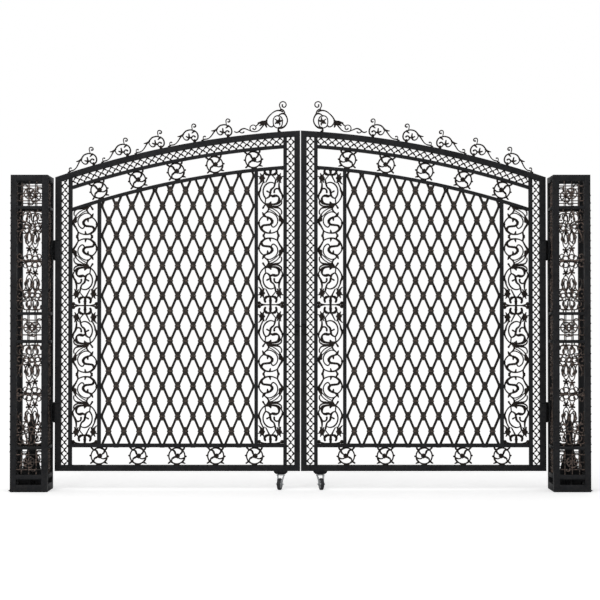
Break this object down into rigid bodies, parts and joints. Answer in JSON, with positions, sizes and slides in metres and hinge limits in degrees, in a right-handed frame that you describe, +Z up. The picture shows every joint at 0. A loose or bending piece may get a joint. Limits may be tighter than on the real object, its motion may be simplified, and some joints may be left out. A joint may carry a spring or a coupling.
{
  "type": "wrought iron driveway gate",
  "caption": "Double-leaf ornamental iron driveway gate with openwork box posts, diamond lattice, cast scroll panels, arched top with scroll cresting and castor wheels.",
  "frame": {"origin": "centre of the left post's foot, on the underside of its base plate at ground level", "axes": "+X from the left post to the right post, +Y from the street side to the inside, +Z up"},
  "size_m": [3.946, 0.25, 2.6588],
  "materials": {
    "frame_paint": "satin charcoal black paint on steel tube",
    "casting_paint": "charcoal black paint with copper brown brushed on the high points",
    "black_fittings": "black painted fittings",
    "zinc": "bright zinc plated pressed steel",
    "rubber": "dark grey rubber tread"
  },
  "bodies": {
    "posts": {"left_post_frame": "frame_paint", "left_post_front_panel": "casting_paint", "left_post_inner_panel": "casting_paint", "left_post_back_panel": "casting_paint", "left_post_outer_panel": "casting_paint", "left_post_ground_anchor": "frame_paint", "left_hinge_brackets": "frame_paint", "right_post_frame": "frame_paint", "right_post_front_panel": "casting_paint", "right_post_inner_panel": "casting_paint", "right_post_back_panel": "casting_paint", "right_post_outer_panel": "casting_paint", "right_post_ground_anchor": "frame_paint", "right_hinge_brackets": "frame_paint"},
    "left_leaf": {"left_hinge_stile": "frame_paint", "left_meeting_stile": "frame_paint", "left_bottom_rail": "frame_paint", "left_arch_rail": "frame_paint", "left_inner_uprights": "frame_paint", "left_upper_arch_bar": "frame_paint", "left_lower_arch_bar": "frame_paint", "left_cross_rail": "frame_paint", "left_circle_bands": "casting_paint", "left_lattice": "casting_paint", "left_hinge_scroll_panel": "casting_paint", "left_meeting_scroll_panel": "casting_paint", "left_lower_rosettes": "casting_paint", "left_upper_rosettes": "casting_paint", "left_crest_scrolls": "casting_paint", "left_hinge_straps": "frame_paint", "left_lock": "black_fittings", "left_castor_mount": "black_fittings"},
    "left_castor_fork": {"left_castor_fork": "zinc"},
    "left_castor_wheel": {"left_castor_wheel": "rubber"},
    "right_leaf": {"right_hinge_stile": "frame_paint", "right_meeting_stile": "frame_paint", "right_bottom_rail": "frame_paint", "right_arch_rail": "frame_paint", "right_inner_uprights": "frame_paint", "right_upper_arch_bar": "frame_paint", "right_lower_arch_bar": "frame_paint", "right_cross_rail": "frame_paint", "right_circle_bands": "casting_paint", "right_lattice": "casting_paint", "right_hinge_scroll_panel": "casting_paint", "right_meeting_scroll_panel": "casting_paint", "right_lower_rosettes": "casting_paint", "right_upper_rosettes": "casting_paint", "right_crest_scrolls": "casting_paint", "right_hinge_straps": "frame_paint", "right_lock": "black_fittings", "right_castor_mount": "black_fittings"},
    "right_castor_fork": {"right_castor_fork": "zinc"},
    "right_castor_wheel": {"right_castor_wheel": "rubber"}
  },
  "joints": [
    {"name": "left_leaf_hinge", "type": "hinge", "parent": "posts", "child": "left_leaf", "pos_m": [0.138, 0.077, 0.525], "axis": [0, 0, 1], "range_deg": [0, 90]},
    {"name": "left_castor_swivel", "type": "hinge", "parent": "left_leaf", "child": "left_castor_fork", "pos_m": [1.693, 0.045, 0.106], "axis": [0, 0, 1], "continuous": true},
    {"name": "left_castor_axle", "type": "hinge", "parent": "left_castor_fork", "child": "left_castor_wheel", "pos_m": [1.68623, 0.01783, 0.04], "axis": [-0.9703, 0.2419, 0], "continuous": true},
    {"name": "right_leaf_hinge", "type": "hinge", "parent": "posts", "child": "right_leaf", "pos_m": [3.518, 0.077, 0.525], "axis": [0, 0, -1], "range_deg": [0, 90]},
    {"name": "right_castor_swivel", "type": "hinge", "parent": "right_leaf", "child": "right_castor_fork", "pos_m": [1.963, 0.045, 0.106], "axis": [0, 0, 1], "continuous": true},
    {"name": "right_castor_axle", "type": "hinge", "parent": "right_castor_fork", "child": "right_castor_wheel", "pos_m": [1.96977, 0.01783, 0.04], "axis": [0.9703, 0.2419, 0], "continuous": true}
  ]
}
